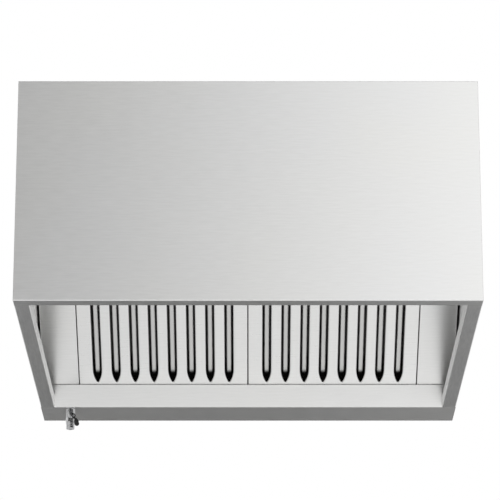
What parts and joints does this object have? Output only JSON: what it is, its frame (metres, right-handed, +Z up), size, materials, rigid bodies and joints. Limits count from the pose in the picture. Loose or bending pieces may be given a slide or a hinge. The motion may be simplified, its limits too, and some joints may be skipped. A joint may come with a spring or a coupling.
{
  "type": "commercial canopy hood",
  "caption": "Wall-hung stainless kitchen canopy: box body with drip gutters, sloped baffle filters that lift out, blank panels, a grease trough with a drain valve, and a round duct collar.",
  "frame": {"origin": "centre of the rectangle of four wall fixing holes, on the plane of the back", "axes": "+X to the right seen from the front, +Y into the wall, +Z up"},
  "size_m": [1, 1, 0.62],
  "materials": {
    "panel_steel": "brushed",
    "filter_steel": "satin",
    "handle_steel": "polished wire",
    "galvanised_steel": "spangled zinc",
    "plated_fasteners": "zinc plated",
    "chromed_brass": "chromed",
    "bare_brass": "turned",
    "soft_seat": "smooth",
    "black_lever": "satin black",
    "black_grip": "dipped",
    "black_rubber": "matt"
  },
  "bodies": {
    "canopy": {"ball_seats": "soft_seat", "bracket_bolts": "plated_fasteners", "bracket_nuts": "plated_fasteners", "collar_gasket": "black_rubber", "collar_rivets": "plated_fasteners", "drain_locknut": "chromed_brass", "drain_spud": "chromed_brass", "drain_washer": "black_rubber", "exhaust_collar": "galvanised_steel", "fascia_stiffener": "galvanised_steel", "filler_rivets": "plated_fasteners", "front_panel": "panel_steel", "gland_nut": "chromed_brass", "grease_trough": "panel_steel", "hanging_bracket_front_left": "galvanised_steel", "hanging_bracket_front_right": "galvanised_steel", "hanging_bracket_rear_left": "galvanised_steel", "hanging_bracket_rear_right": "galvanised_steel", "left_filler_panel": "panel_steel", "left_side_panel": "panel_steel", "lower_filter_rail": "panel_steel", "plenum_baffle": "panel_steel", "rear_panel": "panel_steel", "right_filler_panel": "panel_steel", "right_side_panel": "panel_steel", "top_panel": "panel_steel", "top_stiffener": "galvanised_steel", "upper_filter_rail": "panel_steel", "valve_body": "chromed_brass", "valve_outlet": "chromed_brass"},
    "left_filter": {"left_filter_baffles": "filter_steel", "left_filter_front_tray": "filter_steel", "left_filter_handle_brackets": "handle_steel", "left_filter_handle_rivets": "plated_fasteners", "left_filter_rear_tray": "filter_steel"},
    "left_inner_handle": {"left_filter_inner_handle": "handle_steel"},
    "left_outer_handle": {"left_filter_outer_handle": "handle_steel"},
    "right_filter": {"right_filter_baffles": "filter_steel", "right_filter_front_tray": "filter_steel", "right_filter_handle_brackets": "handle_steel", "right_filter_handle_rivets": "plated_fasteners", "right_filter_rear_tray": "filter_steel"},
    "right_inner_handle": {"right_filter_inner_handle": "handle_steel"},
    "right_outer_handle": {"right_filter_outer_handle": "handle_steel"},
    "valve_lever": {"valve_lever": "black_lever", "lever_grip": "black_grip", "lever_nut": "chromed_brass", "valve_stem": "chromed_brass", "valve_ball": "bare_brass"}
  },
  "joints": [
    {"name": "left_filter_lift", "type": "slide", "parent": "canopy", "child": "left_filter", "axis": [0, -0.8387, 0.5446], "range_m": [0, 0.022]},
    {"name": "right_filter_lift", "type": "slide", "parent": "canopy", "child": "right_filter", "axis": [0, -0.8387, 0.5446], "range_m": [0, 0.022]},
    {"name": "left_inner_handle_swing", "type": "hinge", "parent": "left_filter", "child": "left_inner_handle", "pos_m": [-0.11395, -0.4662, -0.04442], "axis": [1, 0, 0], "range_deg": [-120, 55]},
    {"name": "left_outer_handle_swing", "type": "hinge", "parent": "left_filter", "child": "left_outer_handle", "pos_m": [-0.29475, -0.4662, -0.04442], "axis": [1, 0, 0], "range_deg": [-120, 55]},
    {"name": "right_inner_handle_swing", "type": "hinge", "parent": "right_filter", "child": "right_inner_handle", "pos_m": [0.11175, -0.4662, -0.04442], "axis": [1, 0, 0], "range_deg": [-120, 55]},
    {"name": "right_outer_handle_swing", "type": "hinge", "parent": "right_filter", "child": "right_outer_handle", "pos_m": [0.29255, -0.4662, -0.04442], "axis": [1, 0, 0], "range_deg": [-120, 55]},
    {"name": "drain_valve_turn", "type": "hinge", "parent": "canopy", "child": "valve_lever", "pos_m": [-0.429, -0.111, -0.32], "axis": [0.4384, -0.8988, 0], "range_deg": [-14, 76]}
  ]
}
